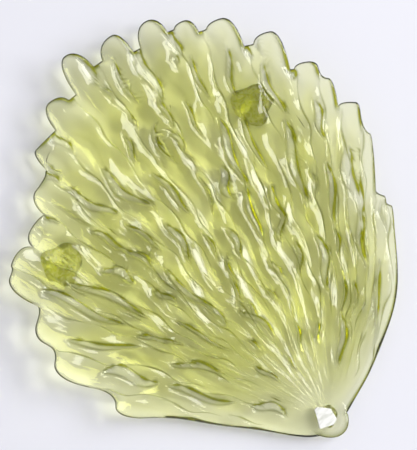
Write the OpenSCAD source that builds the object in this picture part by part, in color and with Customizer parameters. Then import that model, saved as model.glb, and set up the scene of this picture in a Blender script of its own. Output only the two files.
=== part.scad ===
// Leaf-shaped glass plate: a dished blade with raised, slit fronds, a stem knob and three feet.
// +Z is up and the feet stand on Z = 0. +Y runs from the stem to the longest finger.
// Sizes are in millimetres. Fan angles are in degrees from +Y towards -X, about the stem.

/* [Leaf] */
// Reach of the longest finger from the middle of the stem
leaf_reach = 292; // [240:1:340]
// Thickness of the blade under the fronds
blade_t = 2.5; // [2:0.1:7]
// Clear height under the lowest point of the blade
belly_gap = 3; // [2:0.5:15]
// Rise of the underside from its lowest point to the rim
dish_rise = 13; // [4:0.5:30]
// Steepness of the dish towards the rim, where 2 is a parabola
dish_power = 3; // [1.6:0.1:4]
// Place of the lowest point along the leaf, from 0 at the stem to 1 at the longest finger
dish_place = 0.4; // [0.3:0.01:0.6]

/* [Fronds] */
// Height of a frond's crown above the blade
frond_h = 5; // [1:0.1:7]
// Share of that height at a frond's side walls
shoulder_share = 0.65; // [0.3:0.05:0.9]
// Share of that height at a frond's two ends
end_share = 0.25; // [0.2:0.05:1]
// Share of the pitch that is open groove along each side of a frond
groove_share = 0.05; // [0.04:0.01:0.2]
// Roundness of the finger tips, where 1 is pointed and 2 is round
nose_power = 2.5; // [1.2:0.1:3]
// Width of the notches between the fingers, where 1 is a narrow cleft and 2 is an open V
notch_power = 2.4; // [1:0.1:2.5]
// Sideways sway of the fronds
sway = 1.5; // [0:0.1:2]
// Length of one full sway along a frond
sway_length = 90; // [80:1:200]
// Share of the longest reach within which the fronds turn to point straight out
turn_share = 0.9; // [0.75:0.01:1]

/* [Slits] */
// Width of the slits through the fronds, where 1 is the width in their list
slit_wide = 1; // [0.5:0.05:1.3]
// Share of a slit's width by which it winds from side to side
slit_bow = 0.35; // [0:0.05:0.5]

/* [Stem knob] */
// Radius of the knob that the fronds run into
knob_r = 13.5; // [8:0.5:18]
// Height of the knob above the fronds' ends
knob_proud = 1.5; // [0.5:0.1:4]
// Depth of the knob below the blade
knob_drop = 1.5; // [0.5:0.1:4]
// Rounding of the knob's two edges
knob_edge = 2.5; // [0.5:0.1:3]
// Tilt of the polished facet on the knob
facet_tilt = 10; // [4:1:20]

/* [Feet] */
// Radius of a foot where it stands
foot_r = 8; // [4:0.1:9]
// Radius of a foot where it meets the glass above it
foot_top_r = 10; // [5:0.1:12]
// Rounding of a foot's lower edge
foot_edge = 1.2; // [0.4:0.1:2]
// Distance of the left foot from the rim
foot_left_inset = 22; // [15:1:60]
// Distance of the right foot from the rim
foot_right_inset = 48; // [15:1:60]

/* [Hidden] */
$fn = 64;
// Grooves from the right edge round to the lower edge: angle at the stem, angle at the rim, reach
GROOVES = [
    [-91, -54, 141],
    [-82, -51.5, 146],
    [-70, -48.2, 152],
    [-66, -42, 203],
    [-60, -38, 204],
    [-54, -34.5, 229],
    [-48, -30.5, 229],
    [-39, -24, 249],
    [-30, -18, 266],
    [-23, -14, 273],
    [-15, -8.5, 271],
    [-7, -3, 276],
    [1, 2.5, 268],
    [8, 8, 259],
    [15, 13, 245],
    [21, 18.5, 228],
    [27, 24, 223],
    [33, 28.5, 229],
    [39, 33, 203],
    [50, 39.5, 189],
    [65, 47, 153],
    [100, 54.5, 123],
];
// Tip of the frond that lies between each two grooves: angle, reach
TIPS = [
    [-53, 145],
    [-50.5, 150],
    [-44.5, 188],
    [-41, 207],
    [-36, 222],
    [-33, 233],
    [-27.5, 255],
    [-21, 270],
    [-16, 276],
    [-11.5, 285],
    [-6.5, 287],
    [0, 292],
    [5.5, 275],
    [11.5, 259],
    [16, 242],
    [21.5, 230],
    [27, 230],
    [30, 227],
    [36, 200],
    [42.5, 182],
    [51, 139],
];
// Slits through the fronds: place in the fan, counted in grooves, and reach at the outer end, the
// same at the inner end, and width
SLITS = [
    [13, 260, 13, 241, 4.5],
    [13.75, 247, 13.55, 236, 2.5],
    [14, 246, 14, 233, 4],
    [13.9, 226, 13.3, 190, 6.5],
    [13.3, 184, 13.15, 154, 3],
    [14.45, 198, 14.15, 171, 4],
    [14.15, 173, 14.15, 149, 3.5],
    [15.3, 177, 15.05, 153, 5.5],
    [16.3, 189, 16.15, 134, 5],
    [17.5, 205, 17.4, 144, 5.5],
    [14.95, 141, 14.7, 124, 4],
    [18.75, 177, 18.25, 129, 4],
    [17.85, 136, 16.5, 104, 3.2],
    [18.2, 108, 17.3, 73, 4],
    [19.5, 150, 19.5, 112, 7.5],
    [19.55, 106, 19.4, 60, 4.5],
    [19.15, 50, 19.25, 25, 5.5],
    [15.5, 118, 14.95, 74, 2.5],
    [15, 58, 14.75, 38, 3.2],
    [12.2, 90, 11.3, 63, 4],
    [11.55, 91, 11.6, 77, 2.8],
    [13.15, 110, 13.5, 87, 3.2],
    [7.55, 64, 7.55, 47, 2.5],
    [5.4, 69, 4.9, 33, 4.5],
    [11.5, 226, 11.6, 208, 3.8],
    [11.4, 197, 11.3, 160, 4],
    [12.75, 220, 12.35, 180, 6],
    [12.25, 166, 12.5, 135, 4.7],
    [10.35, 141, 10.25, 118, 4.7],
    [9.55, 179, 9.65, 156, 6.5],
    [8.9, 161, 9.1, 123, 3.8],
    [7.8, 158, 7.5, 130, 3.8],
    [7.5, 139, 8, 119, 3.4],
    [7.3, 118, 7.75, 95, 3.2],
    [9.1, 109, 9.05, 97, 3.2],
    [11.25, 111, 12.1, 89, 2.2],
    [13.85, 144, 13.45, 104, 5],
    [11.15, 281, 11.35, 264, 4],
    [11.2, 262, 11.2, 251, 2.4],
    [10.75, 273, 10.8, 239, 2.8],
    [11, 238, 11.1, 227, 2.4],
    [10.85, 217, 10.75, 193, 2.2],
    [9.95, 274, 10.1, 233, 7.5],
    [10.1, 236, 10.1, 214, 3.4],
    [10.2, 214, 10.15, 198, 3.8],
    [9, 273, 9.05, 254, 4],
    [8.8, 253, 8.65, 222, 3],
    [9.5, 228, 9.4, 202, 2.4],
    [10.75, 223, 10.8, 204, 3.3],
    [8.65, 208, 8.85, 160, 6],
    [7.6, 251, 7.7, 218, 3.8],
    [7.75, 208, 7.75, 166, 3.3],
    [6.85, 236, 6.6, 200, 5],
    [6.7, 197, 6.6, 141, 6],
    [6.1, 234, 6.1, 221, 3.8],
    [5.55, 208, 5.35, 182, 5],
    [3.9, 178, 3.65, 134, 6.5],
    [3.65, 137, 3.6, 103, 3.8],
    [5.4, 168, 5.15, 125, 4.2],
    [5.4, 125, 5.4, 104, 2.2],
    [6.45, 120, 6.45, 83, 5.5],
    [4.1, 92, 4.05, 76, 2.4],
];
// Places in the fan that the left and right feet stand under, counted in grooves
LEFT_FOOT_PLACE = 16;
RIGHT_FOOT_PLACE = 7.3;
// How soon the fronds turn on their way out, and how much sooner along the lower edge
turn_power = 2;
lower_bend = 8;
// How close to the rim the fingers begin to stand out
finger_power = 4;
// Shift of the sway from one degree of the fan to the next
sway_shift = 3;
// Steps along a frond
rings = 16;
// Place of a frond's flank, from 0 at its wall to 1 at its crown
flank_share = 0.7;
// Steps along each side of a slit, and how much blunter a slit is at its outer end
slit_steps = 6;
slit_blunt = 0.8;
// Fullness of a slit's two sides, where 1 is slim
slit_full = 0.7;
// Small share of a slit's length that gives its direction
slit_nudge = 0.01;
// How far beside its ends a slit may wind, in pitches
slit_reach = 0.4;
// Gap between a curved face and the faceted face beside it
fit_gap = 0.1;
// Steps round a small edge
edge_steps = 6;

outline_scale = leaf_reach / max([for (tip = TIPS) tip[1]]);
frond_count = len(TIPS);
lower_edge = len(GROOVES) - 1;
root_r = knob_r + fit_gap;
turn_reach = turn_share * leaf_reach;
flank = mix(groove_share, 0.5, flank_share);
// Places across one pitch: the groove, then a frond's wall, flank, crown, flank and wall
CROSS = [0, groove_share, flank, 0.5, 1 - flank, 1 - groove_share];
LINES = [
    for (i = [0 : frond_count - 1], u = CROSS) fan_line(i, u),
    fan_line(frond_count - 1, 1),
];

function mix(a, b, t) = a + (b - a) * t;

// Share of the way from a notch out to a tip, at the share v of the way across
function nose(v) = pow(1 - pow(1 - pow(v, notch_power), nose_power), 1 / nose_power);

// How far a line still has to turn, from 1 at the knob to 0 where it points straight out
function turn_left(root_angle, reach) =
    pow(
        max(0, (turn_reach - reach) / (turn_reach - root_r)),
        turn_power + lower_bend * max(0, root_angle / GROOVES[lower_edge][0])
    );

// Angle that a line ends up at, if it leaves the knob at one angle and meets the rim at another
function far_angle(root_angle, rim_angle, reach) =
    let (left = turn_left(root_angle, reach))
    (rim_angle - root_angle * left) / (1 - left);

// A line from the stem to the rim across frond i: angle at the stem, angle far out, reach of a
// rim that runs straight from notch to notch, and how far the finger stands out of that rim
function fan_line(i, u) =
    let (
        notch = u <= 0.5 ? GROOVES[i] : GROOVES[i + 1],
        v = u <= 0.5 ? 2 * u : 2 - 2 * u,
        notch_reach = outline_scale * notch[2],
        tip_reach = outline_scale * TIPS[i][1],
        straight_reach = outline_scale * mix(GROOVES[i][2], GROOVES[i + 1][2], u),
        tip_root = (GROOVES[i][0] + GROOVES[i + 1][0]) / 2,
        notch_far = far_angle(notch[0], notch[1], notch_reach),
        tip_far = far_angle(tip_root, TIPS[i][0], tip_reach)
    )
    [
        mix(notch[0], tip_root, v),
        mix(notch_far, tip_far, v),
        straight_reach,
        mix(notch_reach, tip_reach, nose(v)) - straight_reach,
    ];

// Point on a line about the stem, at share s of the way from the knob to the rim
function stem_point(line, s) =
    let (
        reach = mix(root_r, line[2], s) + line[3] * pow(s, finger_power),
        drift = sway * sin(180 * s) * sin(360 * reach / sway_length + sway_shift * line[1]),
        angle = mix(line[1], line[0], turn_left(line[0], reach)) + drift / reach * 180 / PI
    )
    [-reach * sin(angle), reach * cos(angle)];

// The leaf's box about the stem, and the stem's place once that box is centred
OUTLINE = [for (line = LINES, j = [0 : rings]) stem_point(line, j / rings)];
x_low = min([for (p = OUTLINE) p.x]);
x_high = max([for (p = OUTLINE) p.x]);
y_low = -knob_r;
y_high = max([for (p = OUTLINE) p.y]);
stem = [-(x_low + x_high) / 2, -(y_low + y_high) / 2];
leaf_width = x_high - x_low;
leaf_length = y_high - y_low;

function leaf_point(line, s) = stem + stem_point(line, s);

// Height of the blade's underside, and the two slopes of that surface
deep_y = (dish_place - 0.5) * leaf_length;
dish_half_x = leaf_width / 2;
dish_half_y = (1 - dish_place) * leaf_length;

function dish_share(p) = norm([p.x / dish_half_x, (p.y - deep_y) / dish_half_y]);

function dish(p) = belly_gap + dish_rise * pow(dish_share(p), dish_power);

function dish_slope(p) =
    dish_rise * dish_power * pow(dish_share(p), dish_power - 2)
    * [p.x / pow(dish_half_x, 2), (p.y - deep_y) / pow(dish_half_y, 2)];

// A frond's height above the blade, at share u across its pitch and s along it
function crown(u) =
    let (across = (u - groove_share) / (1 - 2 * groove_share))
    mix(shoulder_share, 1, sin(180 * across));

function frond_rise(u, s) = frond_h * crown(u) * mix(end_share, 1, sqrt(sin(180 * s)));

// Rows of points along the given lines, each lifted off the underside by a height at each step
function sheet(lines, lifts) = [
    for (k = [0 : len(lines) - 1]) [
        for (j = [0 : rings])
            let (p = leaf_point(lines[k], j / rings))
            [p.x, p.y, dish(p) + lifts[k][j]]
    ]
];

function even_lift(lines, lift) = [for (line = lines) [for (j = [0 : rings]) lift]];

function split(a, b, c, d) = [[a, b, c], [a, c, d]];

function raised(faces, by) = [for (face = faces) [for (corner = face) corner + by]];

// Closed solid between two sheets that have the same rows and the same steps
module sheet_solid(low, high) {
    steps = len(low[0]);
    last_row = len(low) - 1;
    last_step = steps - 1;
    above = len(low) * steps;
    corners = [for (row = concat(low, high), p = row) p];
    faces = [
        for (k = [0 : last_row - 1], j = [0 : last_step - 1])
            let (a = k * steps + j, b = a + steps, c = b + 1, d = a + 1)
            each concat(split(a, d, c, b), raised(split(a, b, c, d), above)),
        for (j = [0 : last_step - 1])
            let (a = j, b = last_row * steps + j)
            each concat(
                split(a, a + above, a + above + 1, a + 1),
                split(b, b + 1, b + above + 1, b + above)
            ),
        for (k = [0 : last_row - 1])
            let (a = k * steps, b = a + last_step)
            each concat(
                split(a + steps, a + steps + above, a + above, a),
                split(b, b + above, b + steps + above, b + steps)
            ),
    ];
    polyhedron(corners, faces);
}

module leaf_blade() {
    color([0.78, 0.80, 0.45])
        sheet_solid(sheet(LINES, even_lift(LINES, 0)), sheet(LINES, even_lift(LINES, blade_t)));
}

// Share of the way along a line at which it has the given reach, found in a few tries
function share_at(line, reach, share = 0.5, tries = 8) =
    tries == 0
        ? share
        : share_at(
            line,
            reach,
            (reach - root_r - line[3] * pow(share, finger_power)) / (line[2] - root_r),
            tries - 1
        );

// Middle of a slit, at share t of the way in from its outer end
function slit_middle(slit, t) =
    let (
        place = mix(slit[0], slit[2], t),
        i = floor(place),
        line = fan_line(i, place - i)
    )
    leaf_point(line, share_at(line, outline_scale * mix(slit[1], slit[3], t)));

// Point on one side of a slit, 1 for its left and -1 for its right, at share t from its outer end
function slit_point(slit, side, t) =
    let (
        inward = slit_middle(slit, t + slit_nudge) - slit_middle(slit, t - slit_nudge),
        left = [inward.y, -inward.x] / norm(inward),
        width = slit_wide * outline_scale * slit[4],
        half = width / 2 * pow(max(0, sin(180 * pow(t, slit_blunt))), slit_full),
        bow = slit_bow * width * sin(360 * (t + slit[0]))
    )
    slit_middle(slit, t) + (bow + side * half) * left;

module slit_cutter(slit) {
    outline = concat(
        [for (k = [0 : slit_steps]) slit_point(slit, 1, k / slit_steps)],
        [for (k = [slit_steps - 1 : -1 : 1]) slit_point(slit, -1, k / slit_steps)]
    );
    linear_extrude(height = 2 * (belly_gap + dish_rise + blade_t + frond_h))
        polygon(outline);
}

// Whether a slit comes near the frond between groove i and the next groove
function is_near(slit, i) =
    min(slit[0], slit[2]) - slit_reach < i + 1 && max(slit[0], slit[2]) + slit_reach > i;

// Raised frond that lies on the blade between groove i and the next groove
module frond(i) {
    across = [for (c = [1 : len(CROSS) - 1]) CROSS[c]];
    lines = [for (u = across) fan_line(i, u)];
    lifts = [for (u = across) [for (j = [0 : rings]) blade_t + frond_rise(u, j / rings)]];
    color([0.84, 0.86, 0.55])
        difference() {
            sheet_solid(sheet(lines, even_lift(lines, blade_t)), sheet(lines, lifts));
            for (slit = SLITS)
                if (is_near(slit, i))
                    slit_cutter(slit);
        }
}

// Quarter round about a centre, as points of a profile that turn 90 degrees from a start angle
function quarter(centre, r, from) = [
    for (step = [0 : edge_steps])
        let (angle = from + 90 * step / edge_steps)
        centre + r * [cos(angle), sin(angle)]
];

knob_low = dish(stem) - knob_drop;
knob_high = dish(stem) + blade_t + end_share * frond_h + knob_proud;

module stem_knob() {
    profile = concat(
        [[0, knob_low]],
        quarter([knob_r - knob_edge, knob_low + knob_edge], knob_edge, 270),
        quarter([knob_r - knob_edge, knob_high - knob_edge], knob_edge, 0),
        [[0, knob_high]]
    );
    color([0.93, 0.94, 0.82])
        translate(stem)
            difference() {
                rotate_extrude()
                    polygon(profile);
                translate([0, 0, knob_high])
                    rotate([facet_tilt, 0, 0])
                        translate([-2 * knob_r, -4 * knob_r, 0])
                            cube([4 * knob_r, 4 * knob_r, knob_high]);
            }
}

// Turned foot that stands on Z = 0 and is as tall as given
module foot_body(tall) {
    profile = concat(
        [[0, 0]],
        quarter([foot_r - foot_edge, foot_edge], foot_edge, 270),
        [[foot_top_r, tall], [0, tall]]
    );
    rotate_extrude()
        polygon(profile);
}

// Foot whose top follows the slope of the blade above it, at one place in the fan
module blade_foot(place, inset) {
    line = fan_line(floor(place), place - floor(place));
    share = 1 - inset / (line[2] - root_r);
    p = leaf_point(line, share);
    slope = dish_slope(p);
    tilt = atan(norm(slope));
    top = dish(p) - fit_gap;
    overshoot = foot_top_r * (1 + norm(slope));
    translate(p)
        difference() {
            foot_body(top + overshoot);
            translate([0, 0, top])
                rotate(tilt, [slope.y, -slope.x, 0])
                    translate([-2 * foot_top_r, -2 * foot_top_r, 0])
                        cube([4 * foot_top_r, 4 * foot_top_r, 2 * overshoot]);
        }
}

module foot_left() {
    color([0.66, 0.69, 0.34])
        blade_foot(LEFT_FOOT_PLACE, foot_left_inset);
}

module foot_right() {
    color([0.66, 0.69, 0.34])
        blade_foot(RIGHT_FOOT_PLACE, foot_right_inset);
}

module foot_stem() {
    color([0.66, 0.69, 0.34])
        translate(stem)
            foot_body(knob_low);
}

function frond_name(i) = str("frond_", i < 9 ? "0" : "", i + 1);

leaf_blade();
stem_knob();
foot_stem();
foot_left();
foot_right();
for (i = [0 : frond_count - 1])
    frond(i);
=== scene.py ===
"""Looks of the leaf shaped glass plate: wavy fronds fused into one dished sheet of citron glass."""
import math

import bmesh
import bpy
import numpy as np
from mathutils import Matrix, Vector


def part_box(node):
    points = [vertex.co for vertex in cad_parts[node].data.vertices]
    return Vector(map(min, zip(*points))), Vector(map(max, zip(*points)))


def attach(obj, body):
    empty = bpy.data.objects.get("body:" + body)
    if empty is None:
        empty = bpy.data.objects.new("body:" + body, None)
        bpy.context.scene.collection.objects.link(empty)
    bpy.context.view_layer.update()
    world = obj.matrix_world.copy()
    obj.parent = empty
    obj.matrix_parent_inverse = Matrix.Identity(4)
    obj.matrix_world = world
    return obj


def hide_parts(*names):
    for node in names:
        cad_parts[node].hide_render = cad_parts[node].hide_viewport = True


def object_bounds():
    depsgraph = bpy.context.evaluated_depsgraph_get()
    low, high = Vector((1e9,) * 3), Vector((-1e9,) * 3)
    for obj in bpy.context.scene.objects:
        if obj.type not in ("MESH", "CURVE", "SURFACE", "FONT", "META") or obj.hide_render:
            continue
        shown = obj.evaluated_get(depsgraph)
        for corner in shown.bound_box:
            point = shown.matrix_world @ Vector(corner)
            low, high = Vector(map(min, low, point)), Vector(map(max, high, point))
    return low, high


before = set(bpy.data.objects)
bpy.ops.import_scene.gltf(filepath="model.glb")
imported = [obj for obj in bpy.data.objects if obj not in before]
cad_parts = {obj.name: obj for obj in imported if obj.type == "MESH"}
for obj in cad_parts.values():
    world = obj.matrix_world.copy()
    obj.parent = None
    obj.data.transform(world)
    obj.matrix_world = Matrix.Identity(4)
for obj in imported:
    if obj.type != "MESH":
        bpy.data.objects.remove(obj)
CAD_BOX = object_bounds()
MM = 0.001
TURN = 2 * math.pi
WHITE = (1, 1, 1, 1)

# Place of the stem, where all fronds start, and the overall size, in mm
KNOB_LOW, KNOB_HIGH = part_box("stem_knob")
STEM = np.array([(KNOB_LOW[axis] + KNOB_HIGH[axis]) / 2 / MM for axis in (0, 1)])
STEM_R = (KNOB_HIGH[0] - KNOB_LOW[0]) / 2 / MM
LEAF_WIDTH = (CAD_BOX[1][0] - CAD_BOX[0][0]) / MM
LEAF_LENGTH = (CAD_BOX[1][1] - CAD_BOX[0][1]) / MM

# Angles are in degrees from the longest finger, counted to the left, and reaches in mm from the stem.
# A groove place counts the grooves from the right edge of the leaf, 0, round to the lower edge.
# Grooves between the fronds: angle at the stem, angle at the rim, reach
GROOVES = np.array([
    (-91, -54, 141), (-82, -51.5, 146), (-70, -48.2, 152), (-66, -42, 203), (-60, -38, 204),
    (-54, -34.5, 229), (-48, -30.5, 229), (-39, -24, 249), (-30, -18, 266), (-23, -14, 273),
    (-15, -8.5, 271), (-7, -3, 276), (1, 2.5, 268), (8, 8, 259), (15, 13, 245), (21, 18.5, 228),
    (27, 24, 223), (33, 28.5, 229), (39, 33, 203), (50, 39.5, 189), (65, 47, 153), (100, 54.5, 123),
], dtype=float)
# Finger tips at the rim, one for each frond: angle, reach
TIPS = np.array([
    (-53, 145), (-50.5, 150), (-44.5, 188), (-41, 207), (-36, 222), (-33, 233), (-27.5, 255),
    (-21, 270), (-16, 276), (-11.5, 285), (-6.5, 287), (0, 292), (5.5, 275), (11.5, 259),
    (16, 242), (21.5, 230), (27, 230), (30, 227), (36, 200), (42.5, 182), (51, 139),
], dtype=float)
FRONDS = len(TIPS)
LEAF_REACH = TIPS[:, 1].max()

# The fingers: how round their tips are, and how flat the notches beside the long ones are
NOSE_POWER = 2.2
NOTCH_FLAT = 0.22
NOTCH_SOFT = 0.08
FIRST_FINGER = 6
LAST_FINGER = 13
FINGER_POWER = 4

# How the fan of fronds bends and sways, and flares at the stem
TURN_REACH = 0.9 * LEAF_REACH
TURN_POWER = 2
LOWER_BEND = 8
SWAY = 1.5
SWAY_LENGTH = 90
SWAY_SHIFT = 3
STEM_FLARE = 26
STEM_FLARE_REACH = 6

# The dished underside in mm, lowest at the deep point
BELLY_GAP = 3
DISH_RISE = 13
DISH_POWER = 3
DISH_HALF = np.array([LEAF_WIDTH / 2, 0.6 * LEAF_LENGTH])
DEEP_POINT = np.array([0, -0.1 * LEAF_LENGTH])

# Glass thickness in mm: the body, how it thins out to the rim and the stem, and the rounded edge
BODY_T = 5.0
RIM_T = 3
RIM_FADE = 45
STEM_T = 3.2
STEM_FADE = 60
UNDER_EDGE_R = 1.8
EDGE_LIFT = 1.5

# A wave has an amount, a length along the fronds in mm and a phase step across them.
# The ribs on the fronds: height in mm, waves, and the share of the height at the rim and the stem
RIB_H = 2.6
MEANDER = (0.13, 48, 1.7)
FUSED_LEVEL = 0.3
FUSED = (0.25, 62, 2.4)
SWELL = (0.16, 37, 2.4)
LIVELY_RIM = 0.2
LIVELY_RIM_FADE = 20
LIVELY_STEM = 0.45
LIVELY_STEM_FROM = 20
LIVELY_STEM_FADE = 60
STEM_JOIN = 14

# Fine ripples on the ribs: the waves that bend them, then pitch, sway and length of sway of two sets
RIPPLE = 0.14
RIPPLE_BENDS = [(2.2, 57, 1 / 9), (1.1, 23, 1 / 5)]
RIPPLE_BROAD = (6.1, 0.9, 71)
RIPPLE_NARROW = (3.7, 1.3, 43)
NARROW_BEND = -0.7
NARROW_SHARE = 0.6
RIPPLE_LEVEL = 0.6
RIPPLE_STRENGTH = (0.4, 83, 1 / 7)
FROND_PITCH = 14

# The slits between the fronds in mm: steep walls, a floor that leans to the light, a shoulder on one side
SLIT_T = 2
SLIT_LEAN = 0.3
SLIT_HOLLOW = 0.03
THINNEST = 1
SLIT_BOW = 0.35
BOW_WIDE = 3
WALL = 0.8
SHOULDER = 3
SHOULDER_STEEP = 0.8
SHOULDER_FLAT = 0.35
SLIT_SKEW = 0.8
SLIT_BLUNT = 0.7
SLIT_FULL = 0.8

# Painted shade in dark lines along the slits: width in mm, level on each wall, and the groove place where
# wider ones start
WALL_DARK = 0.9
WALL_WAVE = (9, 5)
LINE_VARY = 0.5
RIGHT_WALL = 1.5
LEFT_WALL = 0.5
LOWER_LEFT_WALL = 0.8
LOWER_FROM = 13
LOWER_FADE = 2
LOWER_WIDE = 1.2

# Painted shade in dark lines: soft and patchy ones along the crests, sharp ones along the rim, in mm
PAINTED_STREAK_SHADE = 0.2
STREAK_WIDE = 1.3
PATCH_LEVEL = 0.5
PATCH = (0.8, 95, 4.1)
RIM_DARK_RIGHT = 3.2
RIM_DARK_LEFT = 1
# The rim: groove place, painted shade of the right and left flanks of the fingers, rounding of both flanks
# in mm
RIM_PLACE, RIGHT_DARK, LEFT_DARK, RIGHT_ROUND, LEFT_ROUND = np.array([
    (0, 1.2, 1.2, 2.8, 2.8), (2, 1, 0.8, 2.8, 3), (4, 1.6, 0.8, 2.6, 4), (7, 1.6, 0.9, 2.6, 6),
    (13, 1.5, 0.9, 2.6, 6), (15, 0.5, 0.2, 2.4, 2.6), (18, 0.4, 0.2, 2.4, 2.4), (20, 0.5, 0.4, 2.4, 2.4),
    (21, 1.2, 1.2, 2.6, 2.6),
]).T
# Where a finger's right flank turns into its left one, as shares of its width
LEFT_FROM = 0.2
LEFT_FADE = 0.4

# Mesh lines along the fronds, gathered beside slits and flanks. COARSE divides the number of lines.
LINES_PER_FROND = 30
FINE = 120
GATHER = 4
GATHER_WIDE = 0.6
GATHER_ENDS = 0.3
FLANK_WIDE = 0.05
FLANK_FROM = 0.75
COARSE = 5
COARSE_SHARE = 0.84
# Rings about the stem, the last ones by their distance in mm from the rim, those of the stem end by radius
RINGS = 96
RIM_STEPS = (3.8, 2.6, 1.7, 1.0, 0.5, 0.16, 0)
STEM_RINGS = (2.5, 5, 7.5, 9.5, 11, 12, 12.7, 13.2, 13.42)
STEM_LINES = 48
RIM_SAMPLES = 240
GAP_CHUNK = 4000

# The stem end, squarer on one side, with an edge darkened by painted shade: shares, degrees from the
# longest finger, mm
STEM_CORNER = 0.17
STEM_CORNER_AT = 194
STEM_CORNER_WIDE = 40
STEM_DARK = 1
STEM_DARK_WIDE = 3

# The facet on the stem end: corners from the stem in mm, height, slope in degrees and ground edge
FACET = [(-4, 8.5), (-8.5, -4), (0.5, -7), (4.5, -5), (5, 3), (-1.5, 9)]
FACET_H = 2.2
FACET_TILT = 6
FACET_EDGE = 0.5
FACET_EDGE_STEPS = 3
FACET_EDGE_PROFILE = 0.6
KNOB_SINK = 0.3
# The facet's painted reflection: its roughness and greyish-white strokes of stretched noise
FACET_ROUGHNESS = 0.4
STROKE_TURN = math.radians(30)
STROKE_SCALE = (120, 500, 120)
STROKE_DETAIL = 2
PAINTED_REFLECTION_COLOURS = [(0.3, (0.62, 0.63, 0.57)), (0.55, (0.86, 0.86, 0.83))]

# The feet in mm: standing face, flare at the top, rounded lower edge, scale of the one at the stem
FOOT_R = 6.5
FLARE_R = 13
FLARE_POWER = 5
STEM_FOOT = 0.55
FOOT_EDGE = 1.2
FOOT_EDGE_SHARE = 0.25
FOOT_GAP = 0.1
FOOT_LINES = 144
FOOT_ROWS = 31
FOOT_ROW_POWER = 0.8
FOOT_TOP_RINGS = (0.7, 0.35)
# Uneven flare: amount, waves round the foot, phase, twist up the foot
FOOT_WAVES = [(0.08, 3, 1, 0), (0.06, 5, 0, 4)]
# Pebbled side: height, count round the foot and up it, twist, and the wave that shifts the rows
PEBBLE = 1
PEBBLES = 9
PEBBLE_ROWS = 3
PEBBLE_TWIST = 7
PEBBLE_SHIFT = 2
PEBBLE_SHIFT_WAVES = 3

# Glass: colour and density of the absorption, surface, and tints of the painted dark lines and of the
# painted squiggles on the feet, both painted shade
GLASS_COLOUR = (0.93, 0.945, 0.05)
GLASS_DENSITY = 104
GLASS_IOR = 1.6
GLASS_ROUGHNESS = 0.02
PAINTED_SHADE_COLOUR = (0.18, 0.2, 0)
GRAIN_SCALE = (7, 0.04, 1)
GRAIN_DETAIL = 3
GRAIN_STRENGTH = 0.3
GRAIN_DEPTH = 0.0004
FOOT_DENSITY = 70
FOOT_ROUGHNESS = 0.35
# Painted shade on the feet: darker squiggles of noise
SQUIGGLE_SHADE_SCALE = 260
SQUIGGLE_SHADE_DETAIL = 2
SQUIGGLE_SHADE_DISTORTION = 1.5
SQUIGGLE_SHADE_COLOURS = [(0.42, (1, 1, 0.8)), (0.58, (0.6, 0.62, 0.06))]

# Light, floor and view, in metres
BOUNCES = 24
FLOOR_SIZE = 12
FLOOR_COLOUR = (0.75, 0.75, 0.815)
FLOOR_ROUGHNESS = 0.9
FLOOR_GAP = 0.0002
SKY_LEVEL = 0.55
SKY_FROM = 0.7
HORIZON_LEVEL = 0.36
LAMPS = [
    # name, to the right, away from the viewer, height, width and height of the panel, level
    ("panel_high", 2.08, 0.98, 3.28, 2.2, 1.4, 6.2),
    ("strip_right", 3.72, 1.14, 2.06, 3.2, 1.4, 11),
]
VIEW_TURN = math.radians(-36)
VIEW_CENTRE = (0.005, 0.0083)
VIEW_HEIGHT = 0.293
RIM_LEVEL = 0.022
CAMERA_RISE = 1.3
SENSOR_MM = 24

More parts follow.
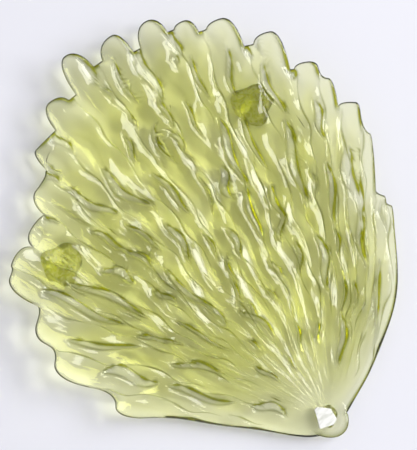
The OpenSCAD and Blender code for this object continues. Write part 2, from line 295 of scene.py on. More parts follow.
# Slits between the fronds: groove place and reach at the outer end, both at the inner end, width in mm
SLITS = [
    (13, 260, 13, 241, 4.5), (13.75, 247, 13.55, 236, 2.5), (14, 246, 14, 233, 4),
    (13.9, 226, 13.3, 190, 6.5), (13.3, 184, 13.15, 154, 3), (14.45, 198, 14.15, 171, 4),
    (14.15, 173, 14.15, 149, 3.5), (14.6, 230, 14.25, 194, 1.2), (15, 229, 15, 216, 2),
    (15.45, 228, 15.4, 218, 1), (15.3, 177, 15.05, 153, 5.5), (16.3, 189, 16.15, 134, 5),
    (17.5, 205, 17.4, 144, 5.5), (14.95, 141, 14.7, 124, 4), (18.75, 177, 18.25, 129, 4),
    (17.85, 136, 16.5, 104, 3.2), (18.2, 108, 17.3, 73, 4), (19.5, 150, 19.5, 112, 7.5),
    (19.55, 106, 19.4, 60, 4.5), (19.15, 50, 19.25, 25, 5.5), (15.5, 118, 14.95, 74, 2.5),
    (15, 58, 14.75, 38, 3.2), (13.45, 73, 13.1, 60, 2), (12.2, 90, 11.3, 63, 4),
    (11.55, 91, 11.6, 77, 2.8), (13.15, 110, 13.5, 87, 3.2), (9.45, 66, 9.55, 45, 2),
    (7.55, 64, 7.55, 47, 2.5), (5.4, 69, 4.9, 33, 4.5), (11.6, 47, 11.3, 36, 1.6),
    (2.1, 90, 0.75, 50, 1.2), (11.5, 226, 11.6, 208, 3.8), (11.4, 197, 11.3, 160, 4),
    (12.75, 220, 12.35, 180, 6), (12.2, 191, 12.2, 174, 1.4), (12.25, 166, 12.5, 135, 4.7),
    (11.3, 145, 11.3, 126, 2), (10.35, 141, 10.25, 118, 4.7), (9.55, 179, 9.65, 156, 6.5),
    (10.3, 182, 10.65, 150, 1.5), (8.9, 161, 9.1, 123, 3.8), (7.8, 158, 7.5, 130, 3.8),
    (7.5, 139, 8, 119, 3.4), (7.3, 118, 7.75, 95, 3.2), (9.1, 109, 9.05, 97, 3.2),
    (10.2, 95, 9.9, 81, 1.8), (10.9, 126, 11.4, 105, 2), (11.25, 111, 12.1, 89, 2.2),
    (13.85, 144, 13.45, 104, 5), (11.15, 281, 11.35, 264, 4), (11.2, 262, 11.2, 251, 2.4),
    (10.75, 273, 10.8, 239, 2.8), (11, 238, 11.1, 227, 2.4), (10.85, 217, 10.75, 193, 2.2),
    (9.95, 274, 10.1, 233, 7.5), (10.1, 236, 10.1, 214, 3.4), (10.2, 214, 10.15, 198, 3.8),
    (10.1, 200, 10.2, 184, 1.2), (9, 273, 9.05, 254, 4), (8.8, 253, 8.65, 222, 3),
    (9.2, 259, 9.2, 250, 2), (9.5, 228, 9.4, 202, 2.4), (10.75, 223, 10.8, 204, 3.3),
    (8.65, 208, 8.85, 160, 6), (7.6, 251, 7.7, 218, 3.8), (7.75, 208, 7.75, 166, 3.3),
    (7, 250, 7.05, 239, 2), (6.8, 252, 6.8, 240, 1.2), (6.85, 236, 6.6, 200, 5),
    (6.7, 197, 6.6, 141, 6), (6.1, 234, 6.1, 221, 3.8), (5.55, 208, 5.35, 182, 5),
    (3.9, 178, 3.65, 134, 6.5), (3.65, 137, 3.6, 103, 3.8), (5.4, 168, 5.15, 125, 4.2),
    (6.15, 166, 6, 146, 1.4), (5.4, 125, 5.4, 104, 2.2), (6.7, 142, 6.5, 121, 1),
    (6.45, 120, 6.45, 83, 5.5), (4.1, 92, 4.05, 76, 2.4), (5.3, 97, 5.4, 66, 2),
    (1.8, 147, 1.45, 127, 1.2), (1.9, 110, 1.5, 63, 2),
]

# Thin creases along the grooves: share of the groove's reach at the outer and the inner end of each
CREASES = [(0.99, 0.7), (0.74, 0.42), (0.46, 0.25)]
CREASE_GAP = 0.02
CREASE_WIDE = 1.2
CREASE_BLUNT = 0.5
CREASE_STEP = 3.2
CREASE_SLOPE = 0.6
# Painted shade beside each crease: width in mm of its dark line, and how that swells and thins
CREASE_DARK = 0.55
CREASE_WAVE = (11, 7)
# How they swing from side to side, in mm
CREASE_BOW = 1.2
CREASE_SWING = 34
CREASE_PHASE = 2.7
CREASE_RUFFLE = 0.5
CREASE_RUFFLE_REACH = 7
# How they differ: amount, phase step from groove to groove and from crease to crease
VARY_START = (0.02, 2.3, 1)
VARY_STOP = (0.05, 3.7, 2)
VARY_PLACE = (0.15, 1.9, 1)
VARY_LEAN = (0.2, 4.1, 1)
VARY_WIDTH = (0.35, 2.9, 1.3)


def mix(low, high, share):
    """The value at this share of the way from low to high."""
    return low + (high - low) * share


def smooth(share):
    """A soft step from 0 at share 0 to 1 at share 1."""
    share = np.clip(share, 0, 1)
    return share * share * (3 - 2 * share)


def along_wave(wave, along, across):
    """A wave along the fronds that shifts from frond to frond."""
    amount, length, step = wave
    return amount * np.sin(TURN * along / length + step * across)


def turn_left(root, reach):
    """Share of the turn from the stem's direction that is still ahead at this reach."""
    power = TURN_POWER + LOWER_BEND * np.maximum(0, root / GROOVES[-1, 0])
    return np.maximum(0, (TURN_REACH - reach) / (TURN_REACH - STEM_R)) ** power


def far_angle(root, rim, reach):
    """The angle that a line turns to, so that it meets the rim angle at this reach."""
    left = turn_left(root, reach)
    return (rim - root * left) / (1 - left)


def fan_lines(places):
    """Root angle, far angle, straight reach and finger reach of the lines at these groove places."""
    index = np.minimum(places.astype(int), FRONDS - 1)
    share = places - index
    near = np.where(share[:, None] <= 0.5, GROOVES[index], GROOVES[index + 1])
    crest = np.where(share <= 0.5, 2 * share, 2 - 2 * share)
    tip_root = (GROOVES[index, 0] + GROOVES[index + 1, 0]) / 2
    near_far = far_angle(near[:, 0], near[:, 1], near[:, 2])
    tip_far = far_angle(tip_root, TIPS[index, 0], TIPS[index, 1])
    straight = mix(GROOVES[index, 2], GROOVES[index + 1, 2], share)
    notch = np.where((index < FIRST_FINGER) | (index > LAST_FINGER), 0, NOTCH_FLAT)
    rise = np.clip((crest - notch) / (1 - notch), 0, 1)
    rise = rise ** 2 * (1 + NOTCH_SOFT) / (rise + NOTCH_SOFT)
    nose = (1 - (1 - np.minimum(rise, 1)) ** NOSE_POWER) ** (1 / NOSE_POWER)
    finger = mix(near[:, 2], TIPS[index, 1], nose) - straight
    return mix(near[:, 0], tip_root, crest), mix(near_far, tip_far, crest), straight, finger


def edge_side(places):
    """-1 at the right edge, 1 at the lower edge and 0 from one frond inwards."""
    return np.clip(places - FRONDS + 1, 0, 1) ** 2 - np.clip(1 - places, 0, 1) ** 2


def fan_points(places, shares):
    """Points in mm at these groove places and shares of the way from stem to rim, and their reach."""
    root, far, straight, finger = (column.reshape(places.shape) for column in fan_lines(places.ravel()))
    reach = mix(STEM_R, straight, shares) + finger * shares ** FINGER_POWER
    wave = np.radians(360 * reach / SWAY_LENGTH + SWAY_SHIFT * far)
    drift = SWAY * np.sin(np.pi * shares) * np.sin(wave)
    flare = STEM_FLARE * edge_side(places) * np.exp((STEM_R - reach) / STEM_FLARE_REACH)
    angle = np.radians(mix(far, root, turn_left(root, reach)) + flare) + drift / reach
    flat = np.stack([-reach * np.sin(angle), reach * np.cos(angle)], axis=-1)
    return flat + STEM, reach


def ring_points(places):
    """The same for a grid with one column for each ring, the last ones close to the rim."""
    straight, finger = (column.reshape(places.shape) for column in fan_lines(places.ravel())[2:])
    length = straight + finger - STEM_R
    rim_steps = np.concatenate([np.full(RINGS, RIM_STEPS[0]), RIM_STEPS[1:]])
    outward = np.minimum(np.arange(len(rim_steps)) / (RINGS - 1), 1)
    return fan_points(places, outward * (1 - rim_steps / length))


def dish(flat):
    """Height in mm of the underside."""
    out = np.linalg.norm((flat - DEEP_POINT) / DISH_HALF, axis=-1)
    return BELLY_GAP + DISH_RISE * out ** DISH_POWER


def gap_to(flat, outline):
    """Distance in mm from each point to the outline's points."""
    points = flat.reshape(-1, 2)
    gaps = np.empty(len(points))
    for start in range(0, len(points), GAP_CHUNK):
        part = slice(start, start + GAP_CHUNK)
        away = points[part, None] - outline[None]
        gaps[part] = np.sqrt((away ** 2).sum(axis=-1).min(axis=1))
    return gaps.reshape(flat.shape[:-1])


def vary(wave, groove, crease):
    """A small difference of one crease from the others, the same in each run."""
    amount, groove_step, crease_step = wave
    return amount * math.sin(groove_step * groove + crease_step * crease)


def all_slits():
    """The uneven creases along the grooves, and then the open slits."""
    rows = []
    for groove in range(1, FRONDS):
        length = GROOVES[groove, 2]
        for crease, (outer, inner) in enumerate(CREASES):
            start = length * (outer + vary(VARY_START, groove, crease) - CREASE_GAP * (crease > 0))
            stop = length * (inner + vary(VARY_STOP, groove, crease))
            place = groove + crease * vary(VARY_PLACE, groove, crease)
            lean = vary(VARY_LEAN, groove, crease)
            width = CREASE_WIDE * (1 + vary(VARY_WIDTH, groove, crease))
            rows.append((place, start, place + lean, stop, width, False))
    return rows + [(*row, True) for row in SLITS]


def near_slits(places, reach, pitch, ends=0.0):
    """For each crease and slit: the points beside it, how far along it and to its left they lie, half its
    width there, and whether it is open."""
    for outer, outer_reach, inner, inner_reach, width, is_open in all_slits():
        along = (outer_reach - reach) / (outer_reach - inner_reach)
        here = np.nonzero((along > -ends) & (along < 1 + ends))
        inside = np.clip(along[here], 0, 1)
        if is_open:
            bow = SLIT_BOW * max(width, BOW_WIDE) * np.sin(TURN * (inside + outer))
        else:
            swing = np.sin(TURN * (outer_reach - reach[here]) / CREASE_SWING + CREASE_PHASE * outer)
            ruffle = CREASE_RUFFLE * np.sin(reach[here] / CREASE_RUFFLE_REACH + outer)
            bow = CREASE_BOW * swing * (1 + ruffle)
        aside = (places[here] - mix(outer, inner, inside)) * pitch[here] - bow
        half = width / 2 * np.sin(np.pi * inside ** SLIT_SKEW) ** SLIT_BLUNT
        yield here, along[here], aside, half, is_open


def line_width(full, wave, along, half):
    """Width in mm of a painted dark line that swells and thins along a slit."""
    along_step, half_step = wave
    return full * (1 + LINE_VARY * np.sin(along_step * along + half_step * half))


def crease_shape(along, aside, half):
    """Drop in mm to the left of a crease, and the painted shade of its dark line."""
    fade = np.sin(np.pi * np.clip(along, 0, 1)) ** CREASE_BLUNT
    wall = smooth(aside / WALL + 0.5)
    out = np.clip(aside, 0, CREASE_STEP)
    fall = CREASE_SLOPE * (CREASE_STEP - out) ** 2 / (2 * CREASE_STEP)
    line = line_width(CREASE_DARK, CREASE_WAVE, along, half)
    return fade * wall * fall, fade * np.exp(-(aside / line) ** 2)


def shoulder_drop(aside, half):
    """Drop in mm of the shoulder to the left of an open slit, steepest at the slit."""
    out = np.where(aside > 0, np.clip(aside - half, 0, SHOULDER), SHOULDER)
    steeper = (SHOULDER_STEEP - SHOULDER_FLAT) / (2 * SHOULDER)
    return SHOULDER_STEEP * (SHOULDER - out) - steeper * (SHOULDER ** 2 - out ** 2)


def painted_wall_shade(places, along, aside, half):
    """Painted shade along the two walls of an open slit."""
    lower = smooth((places - LOWER_FROM) / LOWER_FADE)
    line = line_width(WALL_DARK, WALL_WAVE, along, half) * mix(1, LOWER_WIDE, lower)
    right = np.minimum(1, RIGHT_WALL * np.exp(-((aside + half) / line) ** 2))
    left = mix(LEFT_WALL, LOWER_LEFT_WALL, lower) * np.exp(-((aside - half) / WALL_DARK) ** 2)
    return np.maximum(right, left)


def slit_floor(aside):
    """Glass in mm under a slit, hollow and higher towards its left."""
    return SLIT_T + SLIT_LEAN * aside + SLIT_HOLLOW * aside ** 2


def slit_shape(places, reach, pitch):
    """How far the slits are cut, their floor and the drop beside them in mm, and their painted dark lines
    of painted shade.
    """
    cut = np.zeros_like(reach)
    floor = np.full_like(reach, SLIT_T)
    drop = np.zeros_like(reach)
    dark = np.zeros_like(reach)
    for here, along, aside, half, is_open in near_slits(places, reach, pitch):
        if is_open:
            right = smooth((half + aside) / WALL + 0.5)
            left = smooth((half - aside) / WALL + 0.5)
            cut[here] = np.maximum(cut[here], np.minimum(right, left))
            floor[here] = np.where(np.abs(aside) < half + WALL, slit_floor(aside), floor[here])
            fade = np.clip(half / SLIT_FULL, 0, 1)
            new_drop = fade * shoulder_drop(aside, half)
            # Painted shade along the slit's walls
            new_dark = fade * painted_wall_shade(places[here], along, aside, half)
        else:
            new_drop, new_dark = crease_shape(along, aside, half)
        drop[here] = np.maximum(drop[here], new_drop)
        dark[here] = np.maximum(dark[here], new_dark)
    return cut, floor, drop, dark


def ripple_wave(across, along, pitch, sway, length):
    """A wave across the fronds that sways along them."""
    return np.sin(TURN * across / pitch + sway * np.sin(TURN * along / length))


def ripples(across, along):
    """Fine drawn ripples in mm, long in the direction of the fronds."""
    bend = sum(along_wave(wave, along, across) for wave in RIPPLE_BENDS)
    broad = ripple_wave(across + bend, along, *RIPPLE_BROAD)
    narrow = ripple_wave(across + NARROW_BEND * bend, along, *RIPPLE_NARROW)
    strength = RIPPLE_LEVEL + along_wave(RIPPLE_STRENGTH, along, across)
    return RIPPLE * strength * (broad + NARROW_SHARE * narrow)


def leftness(places):
    """0 on the right flank of each finger, 1 on its left."""
    return smooth((places - np.floor(places) - LEFT_FROM) / LEFT_FADE)


def flank_mix(places, right, left):
    """Two columns of the rim's table, mixed from the right flank of each finger to its left."""
    return mix(np.interp(places, RIM_PLACE, right), np.interp(places, RIM_PLACE, left), leftness(places))


def glass_shape(places, reach, rim_gap, pitch):
    """Thickness in mm, and the painted shade that darkens the glass along walls, crests and rim."""
    body = mix(RIM_T, BODY_T, smooth(rim_gap / RIM_FADE))
    body = mix(np.minimum(STEM_T, body), body, smooth((reach - STEM_R) / STEM_FADE))

    # Ribs and ripples, calmer at the rim and the stem
    meander = places + along_wave(MEANDER, reach, places)
    frond = np.floor(meander)
    crest = (1 - np.cos(TURN * meander)) / 2
    fused = FUSED_LEVEL + along_wave(FUSED, reach, np.round(meander))
    swell = 1 + along_wave(SWELL, reach, frond)
    lively = mix(LIVELY_RIM, 1, smooth(rim_gap / LIVELY_RIM_FADE))
    lively = lively * mix(LIVELY_STEM, 1, smooth((reach - LIVELY_STEM_FROM) / LIVELY_STEM_FADE))
    lively = lively * smooth((reach - STEM_R) / STEM_JOIN)
    relief = RIB_H * mix(fused, swell, crest) + ripples(places * FROND_PITCH, reach)
    cut, floor, drop, dark = slit_shape(places, reach, pitch)
    top = body + lively * relief - drop
    floor = np.minimum(np.maximum(floor, THINNEST), top)

    # Painted shade: dark lines on the crests and the rim
    from_crest = (meander - frond - 0.5) * pitch
    patch = smooth(PATCH_LEVEL + along_wave(PATCH, reach, frond))
    streak = PAINTED_STREAK_SHADE * patch * lively * np.exp(-(from_crest / STREAK_WIDE) ** 2) * (1 - cut)
    # Painted shade along the fingers' flanks
    rim_wide = mix(RIM_DARK_RIGHT, RIM_DARK_LEFT, leftness(places))
    painted_rim_shade = flank_mix(places, RIGHT_DARK, LEFT_DARK) * np.exp(-(rim_gap / rim_wide) ** 2)
    dark = np.maximum(np.maximum(dark, streak), np.minimum(1, painted_rim_shade))
    return mix(top, floor, cut), dark


class GlassMesh:
    """Points in mm, their places in the fan, and faces, collected sheet by sheet."""

    def __init__(self):
        self.points = []
        self.fan = []
        self.shade = []
        self.faces = []

    def add_points(self, flat, height, places, reach, shade=None):
        """Adds a grid of points and returns their numbers."""
        first = len(self.points)
        shade = np.zeros_like(height) if shade is None else shade
        self.shade.extend(shade.ravel().tolist())
        self.points.extend(np.dstack([flat[..., 0], flat[..., 1], height]).reshape(-1, 3).tolist())
        self.fan.extend(np.dstack([places, reach]).reshape(-1, 2).tolist())
        return np.arange(first, len(self.points)).reshape(flat.shape[:-1])

    def add_sheet(self, grid):
        """Four-sided faces between the rows of a grid."""
        corners = (grid[:-1, :-1], grid[1:, :-1], grid[1:, 1:], grid[:-1, 1:])
        self.faces.extend(np.stack(corners, axis=-1).reshape(-1, 4).tolist())

    def add_strip(self, coarse, fine):
        """Triangles between two rows, the fine one with a whole number of steps to each coarse step."""
        ratio = (len(fine) - 1) // (len(coarse) - 1)
        half = ratio // 2
        for step in range(len(coarse) - 1):
            near, far = int(coarse[step]), int(coarse[step + 1])
            row = fine[step * ratio:(step + 1) * ratio + 1].tolist()
            self.faces.extend([near, row[k], row[k + 1]] for k in range(half))
            self.faces.append([near, row[half], far])
            self.faces.extend([far, row[k], row[k + 1]] for k in range(half, ratio))

    def add_cap(self, ring):
        """Triangles from a closed ring to a point at its middle."""
        middle = len(self.points)
        self.points.append(np.mean([self.points[v] for v in ring[:-1]], axis=0).tolist())
        self.fan.append([FRONDS / 2, 0])
        self.shade.append(0)
        self.faces.extend([middle, int(a), int(b)] for a, b in zip(ring[:-1], ring[1:]))

    def make_object(self, name):
        """The object in metres, with the fan places and the painted shade stored for its material."""
        mesh = bpy.data.meshes.new(name)
        mesh.from_pydata((np.array(self.points) * MM).tolist(), [], self.faces)
        spread = mesh.attributes.new("fan", "FLOAT2", "POINT")
        spread.data.foreach_set("vector", np.array(self.fan, dtype=np.float32).ravel())
        dark = mesh.attributes.new("shade", "FLOAT", "POINT")
        dark.data.foreach_set("value", np.array(self.shade, dtype=np.float32))
        skin = bmesh.new()
        skin.from_mesh(mesh)
        loose = [vertex for vertex in skin.verts if not vertex.link_faces]
        bmesh.ops.delete(skin, geom=loose, context="VERTS")
        bmesh.ops.recalc_face_normals(skin, faces=skin.faces)
        skin.to_mesh(mesh)
        skin.free()
        mesh.shade_smooth()
        return link_object(name, mesh)


def link_object(name, data):
    """A new object in the scene."""
    piece = bpy.data.objects.new(name, data)
    bpy.context.scene.collection.objects.link(piece)
    return piece


def edge_round(gap, radius):
    """Share of the full thickness at this distance from a rounded edge."""
    inward = np.clip(1 - gap / radius, 0, 1)
    return np.sqrt(1 - inward ** 2)


def both_sides(flat, thickness, rim_gap, places):
    """Heights in mm of the top and the underside, which meet in a rounded edge."""
    edge = dish(flat) + EDGE_LIFT
    radius = flank_mix(places, RIGHT_ROUND, LEFT_ROUND)
    top = edge + (thickness - EDGE_LIFT) * edge_round(rim_gap, radius)
    under = edge - EDGE_LIFT * edge_round(rim_gap, UNDER_EDGE_R)
    return top, under


def fan_pitch(places, flat):
    """Distance in mm from groove to groove, square to the lines."""
    across = np.gradient(flat, places, axis=0)
    along = np.gradient(flat, axis=1)
    along /= np.linalg.norm(along, axis=-1, keepdims=True)
    return np.abs(across[..., 0] * along[..., 1] - across[..., 1] * along[..., 0])


def line_weight(grid, reach, pitch):
    """How closely the mesh lines stand, gathered beside the slits and on the flanks of the fingers."""
    weight = np.ones_like(reach)
    for here, along, aside, half, _ in near_slits(grid, reach, pitch, GATHER_ENDS):
        beyond = np.maximum(np.maximum(-along, along - 1), 0)
        fade = 1 - beyond / GATHER_ENDS
        weight[here] += GATHER * fade * np.exp(-((np.abs(aside) - half) / GATHER_WIDE) ** 2)
    flank = (np.abs(grid % 1 - 0.5) - (1 - NOTCH_FLAT) / 2) / FLANK_WIDE
    outward = np.arange(grid.shape[1]) / RINGS
    return weight + GATHER * smooth((outward - FLANK_FROM) / (1 - FLANK_FROM)) * np.exp(-flank ** 2)


def leaf_grid():
    """Groove places of the mesh lines at each ring, and the pitch there in mm."""
    fine = np.linspace(0, FRONDS, FRONDS * FINE + 1)
    grid = np.repeat(fine[:, None], RINGS + len(RIM_STEPS) - 1, axis=1)
    flat, reach = ring_points(grid)
    pitch = fan_pitch(fine, flat)
    weight = line_weight(grid, reach, pitch)
    steps = np.arange(LINES_PER_FROND) / LINES_PER_FROND
    lines = np.full((FRONDS * LINES_PER_FROND + 1, grid.shape[1]), float(FRONDS))
    for frond in range(FRONDS):
        part = slice(frond * FINE, (frond + 1) * FINE + 1)
        middle = (weight[part][1:] + weight[part][:-1]) / 2
        total = np.concatenate([np.zeros((1, grid.shape[1])), np.cumsum(middle, axis=0)])
        total /= total[-1]
        rows = slice(frond * LINES_PER_FROND, (frond + 1) * LINES_PER_FROND)
        for ring in range(grid.shape[1]):
            lines[rows, ring] = np.interp(steps, total[:, ring], fine[part])
    line_pitch = np.empty_like(lines)
    for ring in range(grid.shape[1]):
        line_pitch[:, ring] = np.interp(lines[:, ring], fine, pitch[:, ring])
    return lines, line_pitch


def stem_disc(starts):
    """Points in mm, groove places and reaches of the rings on the stem end, and points of its blunt edge.

    A ring has a point on each line of the fan that starts at these places, and more round the blunt end.
    """
    roots = np.radians(fan_lines(starts)[0] + STEM_FLARE * edge_side(starts))
    blunt = np.linspace(roots[-1], roots[0] + TURN, STEM_LINES + 1)[1:-1]
    turn = np.concatenate([roots, blunt])
    rays = np.stack([-np.sin(turn), np.cos(turn)], axis=-1)
    reach = np.repeat(np.array(STEM_RINGS)[None, :], len(turn), axis=0)
    corner = 1 + STEM_CORNER * np.exp(-((np.degrees(turn) - STEM_CORNER_AT) / STEM_CORNER_WIDE) ** 2)
    flat = STEM + rays[:, None] * reach[..., None] * corner[:, None, None]
    places = np.repeat(np.interp(turn, roots, starts)[:, None], len(STEM_RINGS), axis=1)
    blunt_edge = STEM + STEM_R * rays[len(roots):] * corner[len(roots):, None]
    return flat, places, reach, blunt_edge


def make_leaf():
    """The fronds and the sheet they are fused into, as one closed skin of glass."""
    places, pitch = leaf_grid()
    flat, reach = ring_points(places)
    starts = places[::COARSE, 0]
    disc, disc_places, disc_reach, end = stem_disc(starts)
    rim_places = np.linspace(0, FRONDS, FRONDS * RIM_SAMPLES + 1)
    rim = fan_points(rim_places, np.ones_like(rim_places))[0]
    outline = np.concatenate([rim, flat[0], flat[-1], end])

    rim_gap = gap_to(flat, outline)
    thickness, dark = glass_shape(places, reach, rim_gap, pitch)
    top, under = both_sides(flat, thickness, rim_gap, places)
    disc_gap = gap_to(disc, outline)
    disc_top, disc_under = both_sides(disc, np.full_like(disc_reach, STEM_T), disc_gap, disc_places)
    # Painted shade along the stem end's edge
    disc_painted_shade = STEM_DARK * np.exp(-(disc_gap / STEM_DARK_WIDE) ** 2)

    glass = GlassMesh()
    upper = glass.add_points(flat, top, places, reach, dark)
    upper_disc = glass.add_points(disc, disc_top, disc_places, disc_reach, disc_painted_shade)
    lower = upper.copy()
    lower[1:-1, :-1] = glass.add_points(
        flat[1:-1, :-1], under[1:-1, :-1], places[1:-1, :-1], reach[1:-1, :-1])
    lower_disc = glass.add_points(disc, disc_under, disc_places, disc_reach)
    one_row = np.ones((1, len(end)))
    # The blunt stem edge carries the full painted shade
    stem_edge = glass.add_points(
        end[None], dish(end)[None] + EDGE_LIFT,
        FRONDS * one_row, STEM_R * one_row, STEM_DARK * one_row)[0]

    # The underside is coarse as far out as the first notches
    split = int(COARSE_SHARE * RINGS)
    glass.add_sheet(upper)
    glass.add_sheet(lower[:, split:])
    glass.add_sheet(lower[::COARSE, :split])
    glass.add_strip(lower[::COARSE, split - 1], lower[:, split])
    for disc_sheet, ring in ((upper_disc, upper[:, 0]), (lower_disc, lower[::COARSE, 0])):
        loop = np.concatenate([disc_sheet, disc_sheet[:1]])
        glass.add_sheet(loop)
        glass.add_cap(loop[:, 0])
        glass.add_strip(disc_sheet[:len(starts), -1], ring)
        border = np.concatenate([[ring[-1]], stem_edge, [ring[0]]])
        glass.add_sheet(np.stack([loop[len(starts) - 1:, -1], border]))
    return glass.make_object("glass_leaf")


def make_knob():
    """The facet on the stem end, a low block with ground corners, bright from the painted reflection that
    its material carries.
    """
    seat = float(dish(STEM[None])[0]) + STEM_T - KNOB_SINK
    block = bmesh.new()
    corners = [np.array(corner) + STEM for corner in FACET]
    low = [block.verts.new((x, y, seat)) for x, y in corners]
    slope = math.tan(math.radians(FACET_TILT))
    heights = [seat + FACET_H + slope * (y - STEM[1]) for x, y in corners]
    high = [block.verts.new((x, y, z)) for (x, y), z in zip(corners, heights)]
    block.faces.new(high)
    block.faces.new(low[::-1])
    for k in range(len(corners)):
        after = (k + 1) % len(corners)
        block.faces.new((low[k], low[after], high[after], high[k]))
    bmesh.ops.recalc_face_normals(block, faces=block.faces)
    edges = [edge for edge in block.edges if edge.verts[0] in high or edge.verts[1] in high]
    bmesh.ops.bevel(block, geom=edges, offset=FACET_EDGE, segments=FACET_EDGE_STEPS, affect="EDGES",
                    profile=FACET_EDGE_PROFILE)
    bmesh.ops.scale(block, vec=(MM, MM, MM), verts=block.verts)
    mesh = bpy.data.meshes.new("stem_facet")
    block.to_mesh(mesh)
    block.free()
    return link_object("stem_facet", mesh)


def foot_radius(turn, share, wide):
    """Radius in mm of a foot round a row, at this share of the way up."""
    shift = PEBBLE_SHIFT * np.sin(PEBBLE_SHIFT_WAVES * turn)
    lump = np.sin(PEBBLES * turn + PEBBLE_TWIST * share) * np.sin(TURN * PEBBLE_ROWS * share + shift)
    uneven = 1 + sum(amount * np.sin(waves * turn + phase + twist * share)
                     for amount, waves, phase, twist in FOOT_WAVES)
    flare = wide * mix(FOOT_R, FLARE_R, share ** FLARE_POWER)
    radius = flare - FOOT_EDGE * (1 - smooth(share / FOOT_EDGE_SHARE))
    return radius * mix(1, uneven, share) + PEBBLE * lump * np.sin(np.pi * share)


def make_foot(node, wide):
    """A pressed drop of glass under the leaf, flat where it stands, flared and uneven where it joins."""
    low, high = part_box(node)
    middle = np.array([(low[axis] + high[axis]) / 2 / MM for axis in (0, 1)])
    turn = np.linspace(0, TURN, FOOT_LINES, endpoint=False)
    rays = np.stack([np.cos(turn), np.sin(turn)], axis=-1)
    glass = GlassMesh()
    rows = []
    blank = np.zeros((1, FOOT_LINES))
    for share in np.linspace(0, 1, FOOT_ROWS):
        flat = middle + foot_radius(turn, share, wide)[:, None] * rays
        level = (dish(flat) - FOOT_GAP) * share ** FOOT_ROW_POWER
        rows.append(glass.add_points(flat[None], level[None], blank, blank)[0])
    for share in FOOT_TOP_RINGS:
        flat = middle + wide * share * FLARE_R * rays
        level = dish(flat) - FOOT_GAP
        rows.append(glass.add_points(flat[None], level[None], blank, blank)[0])
    grid = np.stack(rows)
    grid = np.concatenate([grid, grid[:, :1]], axis=1)
    glass.add_sheet(grid)
    glass.add_cap(grid[0])
    glass.add_cap(grid[-1])
    return glass.make_object("glass_" + node)


def new_material(name):
    """A material with its node tree and its shader."""
    material = bpy.data.materials.new(name)
    material.use_nodes = True
    return material, material.node_tree, material.node_tree.nodes["Principled BSDF"]


def add_stretch(tree, vector, scale, turn=0):
    """The vector turned about Z and scaled on each axis."""
    stretch = tree.nodes.new("ShaderNodeMapping")
    stretch.inputs["Rotation"].default_value = (0, 0, turn)
    stretch.inputs["Scale"].default_value = scale
    tree.links.new(vector, stretch.inputs["Vector"])
    return stretch.outputs["Vector"]


def add_noise(tree, vector, scale, detail, distortion=0):
    """A noise over the vector."""
    noise = tree.nodes.new("ShaderNodeTexNoise")
    noise.inputs["Scale"].default_value = scale
    noise.inputs["Detail"].default_value = detail
    noise.inputs["Distortion"].default_value = distortion
    tree.links.new(vector, noise.inputs["Vector"])
    return noise.outputs["Fac"]


def add_colours(tree, value, stops, socket):
    """Colours at two stops of the value, led to a socket."""
    ramp = tree.nodes.new("ShaderNodeValToRGB")
    for element, (place, colour) in zip(ramp.color_ramp.elements, stops):
        element.position = place
        element.color = (*colour, 1)
    tree.links.new(value, ramp.inputs["Fac"])
    tree.links.new(ramp.outputs["Color"], socket)


def glass_material(name, density, roughness):
    """Clear citron glass, coloured by its depth, with its node tree and its shader."""
    material, tree, shader = new_material(name)
    shader.inputs["Transmission Weight"].default_value = 1
    shader.inputs["IOR"].default_value = GLASS_IOR
    shader.inputs["Roughness"].default_value = roughness
    shader.inputs["Base Color"].default_value = WHITE
    depth = tree.nodes.new("ShaderNodeVolumeAbsorption")
    depth.inputs["Color"].default_value = (*GLASS_COLOUR, 1)
    depth.inputs["Density"].default_value = density
    tree.links.new(depth.outputs["Volume"], tree.nodes["Material Output"].inputs["Volume"])
    return material, tree, shader


def leaf_material():
    """Glass tinted by the painted shade that the mesh carries as dark lines, and a fine bump drawn along
    the fronds.
    """
    material, tree, shader = glass_material("citron_glass", GLASS_DENSITY, GLASS_ROUGHNESS)
    # Painted shade: the mesh's shade attribute darkens the tint towards the painted shade colour
    dark = tree.nodes.new("ShaderNodeAttribute")
    dark.attribute_name = "shade"
    tint = tree.nodes.new("ShaderNodeMix")
    tint.data_type = "RGBA"
    tint.inputs["A"].default_value = WHITE
    tint.inputs["B"].default_value = (*PAINTED_SHADE_COLOUR, 1)
    tree.links.new(dark.outputs["Fac"], tint.inputs["Factor"])
    tree.links.new(tint.outputs["Result"], shader.inputs["Base Color"])
    place = tree.nodes.new("ShaderNodeAttribute")
    place.attribute_name = "fan"
    stretch = add_stretch(tree, place.outputs["Vector"], GRAIN_SCALE)
    grain = add_noise(tree, stretch, 1, GRAIN_DETAIL)
    relief = tree.nodes.new("ShaderNodeBump")
    relief.inputs["Strength"].default_value = GRAIN_STRENGTH
    relief.inputs["Distance"].default_value = GRAIN_DEPTH
    tree.links.new(grain, relief.inputs["Height"])
    tree.links.new(relief.outputs["Normal"], shader.inputs["Normal"])
    return material


def foot_material():
    """Glass with painted shade: darker squiggles standing in for the refraction of its pebbled side."""
    material, tree, shader = glass_material("foot_glass", FOOT_DENSITY, FOOT_ROUGHNESS)
    place = tree.nodes.new("ShaderNodeTexCoord")
    squiggle_shade = add_noise(tree, place.outputs["Object"], SQUIGGLE_SHADE_SCALE, SQUIGGLE_SHADE_DETAIL, SQUIGGLE_SHADE_DISTORTION)
    add_colours(tree, squiggle_shade, SQUIGGLE_SHADE_COLOURS, shader.inputs["Base Color"])
    return material


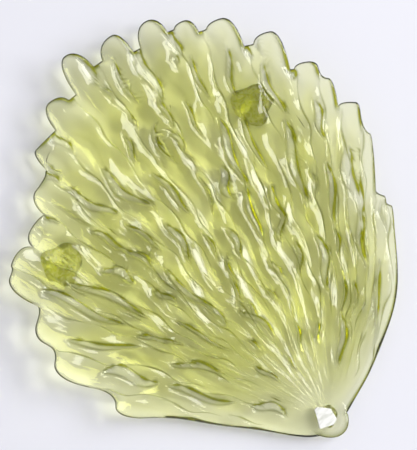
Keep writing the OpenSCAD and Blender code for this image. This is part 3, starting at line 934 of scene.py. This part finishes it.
def facet_reflection_material():
    """The facet's painted reflection: an opaque greyish-white surface with strokes, painted where a lamp's
    reflection would be.
    """
    material, tree, shader = new_material("facet_painted_reflection")
    shader.inputs["Roughness"].default_value = FACET_ROUGHNESS
    place = tree.nodes.new("ShaderNodeTexCoord")
    stretch = add_stretch(tree, place.outputs["Object"], STROKE_SCALE, STROKE_TURN)
    strokes = add_noise(tree, stretch, 1, STROKE_DETAIL)
    add_colours(tree, strokes, PAINTED_REFLECTION_COLOURS, shader.inputs["Base Color"])
    return material


def make_floor():
    """Pale paper just under the feet."""
    bpy.ops.mesh.primitive_plane_add(size=FLOOR_SIZE, location=(0, 0, -FLOOR_GAP))
    floor = bpy.context.object
    floor.name = "floor"
    paper, _, shader = new_material("floor_paper")
    shader.inputs["Base Color"].default_value = (*FLOOR_COLOUR, 1)
    shader.inputs["Roughness"].default_value = FLOOR_ROUGHNESS
    floor.data.materials.append(paper)


def make_world():
    """Soft white light all round, brighter from above."""
    world = bpy.data.worlds.new("tent")
    world.use_nodes = True
    nodes, links = world.node_tree.nodes, world.node_tree.links
    place = nodes.new("ShaderNodeTexCoord")
    split = nodes.new("ShaderNodeSeparateXYZ")
    links.new(place.outputs["Generated"], split.inputs["Vector"])
    ramp = nodes.new("ShaderNodeMapRange")
    ramp.inputs["From Min"].default_value = 0
    ramp.inputs["From Max"].default_value = SKY_FROM
    ramp.inputs["To Min"].default_value = HORIZON_LEVEL
    ramp.inputs["To Max"].default_value = SKY_LEVEL
    links.new(split.outputs["Z"], ramp.inputs["Value"])
    nodes["Background"].inputs["Color"].default_value = WHITE
    links.new(ramp.outputs["Result"], nodes["Background"].inputs["Strength"])
    bpy.context.scene.world = world


def make_lamps():
    """Large panels that face the plate, placed as the camera sees it."""
    right = Vector((math.cos(VIEW_TURN), math.sin(VIEW_TURN), 0))
    ahead = Vector((-right.y, right.x, 0))
    for name, side, up, height, wide, tall, level in LAMPS:
        lamp = bpy.data.lights.new(name, "AREA")
        lamp.shape = "RECTANGLE"
        lamp.size = wide
        lamp.size_y = tall
        lamp.energy = level * math.pi * wide * tall
        holder = link_object(name, lamp)
        holder.location = side * right + up * ahead + Vector((0, 0, height))
        holder.rotation_euler = (-holder.location).to_track_quat("-Z", "Y").to_euler()


def make_camera():
    """A camera straight above the plate."""
    lens = bpy.data.cameras.new("camera")
    lens.sensor_fit = "VERTICAL"
    lens.sensor_height = SENSOR_MM
    lens.lens = SENSOR_MM * CAMERA_RISE / VIEW_HEIGHT
    camera = link_object("camera", lens)
    camera.location = (*VIEW_CENTRE, RIM_LEVEL + CAMERA_RISE)
    camera.rotation_euler = (0, 0, VIEW_TURN)
    bpy.context.scene.camera = camera


def make_stage():
    """Floor, light and camera, and the settings that clear glass needs."""
    scene = bpy.context.scene
    scene.view_settings.view_transform = "Standard"
    scene.cycles.max_bounces = BOUNCES
    scene.cycles.transmission_bounces = BOUNCES
    scene.cycles.blur_glossy = 0
    make_floor()
    make_world()
    make_lamps()
    make_camera()


make_stage()
leaf = make_leaf()
leaf.data.materials.append(leaf_material())
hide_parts("leaf_blade", *[f"frond_{number:02d}" for number in range(1, FRONDS + 1)])
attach(leaf, "root")

knob = make_knob()
knob.data.materials.append(facet_reflection_material())
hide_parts("stem_knob")
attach(knob, "root")

foot_glass = foot_material()
for node, wide in (("foot_stem", STEM_FOOT), ("foot_left", 1), ("foot_right", 1)):
    foot = make_foot(node, wide)
    foot.data.materials.append(foot_glass)
    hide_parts(node)
    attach(foot, "root")
